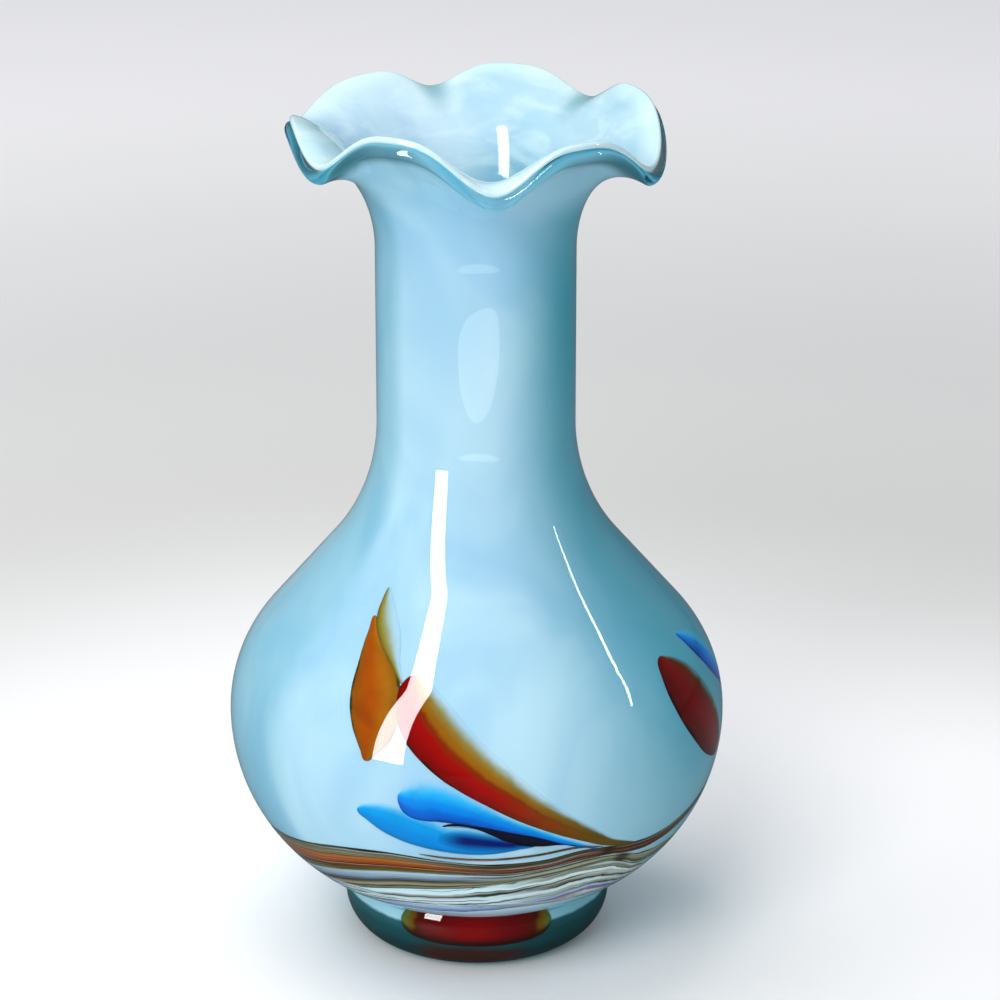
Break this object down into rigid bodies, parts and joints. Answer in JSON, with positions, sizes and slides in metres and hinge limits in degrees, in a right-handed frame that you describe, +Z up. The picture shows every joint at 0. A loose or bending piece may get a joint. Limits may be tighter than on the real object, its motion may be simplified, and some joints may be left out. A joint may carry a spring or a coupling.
{
  "type": "art glass vase",
  "caption": "Hand-blown cased-glass vase with a round belly, slender neck, ruffled lip, thick clear foot and coloured glass leaves and trails sealed in its wall.",
  "frame": {"origin": "middle of the foot's resting face, on the vase's axis", "axes": "+Z up along the vase's axis; -Y is the front, where the long red trail is; +X is to the right of someone facing the front"},
  "size_m": [0.152, 0.152, 0.2676],
  "materials": {
    "opal_lining": "opaque pale blue opal glass, glossy, faintly streaked",
    "clear_glass": "clear glass with a faint blue-green tint, glossy",
    "foot_glass": "thick clear glass, blue-green at its edges, glossy",
    "red_glass": "deep red glass, amber where it is thin",
    "amber_glass": "amber-brown glass, olive at its edge",
    "olive_glass": "thin olive-amber glass",
    "black_glass": "near-black purple glass",
    "cobalt_glass": "cobalt blue glass, paler at its edge",
    "sky_blue_glass": "sky blue glass, fading at its edge",
    "brown_glass": "brown glass thread with orange streaks",
    "lavender_glass": "white glass swirled with lavender"
  },
  "bodies": {
    "root": {"inner_lining": "opal_lining", "clear_casing": "clear_glass", "foot": "foot_glass", "foot_red_patch": "red_glass", "red_amber_trail": "red_glass", "amber_leaf": "amber_glass", "olive_leaf_tip": "olive_glass", "dark_streak": "black_glass", "blue_leaf_upper": "cobalt_glass", "blue_leaf_lower": "sky_blue_glass", "red_oval": "red_glass", "blue_oval": "cobalt_glass", "back_red_trail": "red_glass", "back_amber_leaf": "amber_glass", "back_blue_leaf": "cobalt_glass", "brown_trail_upper": "brown_glass", "brown_trail_lower": "olive_glass", "pale_trail": "lavender_glass"}
  },
  "joints": []
}
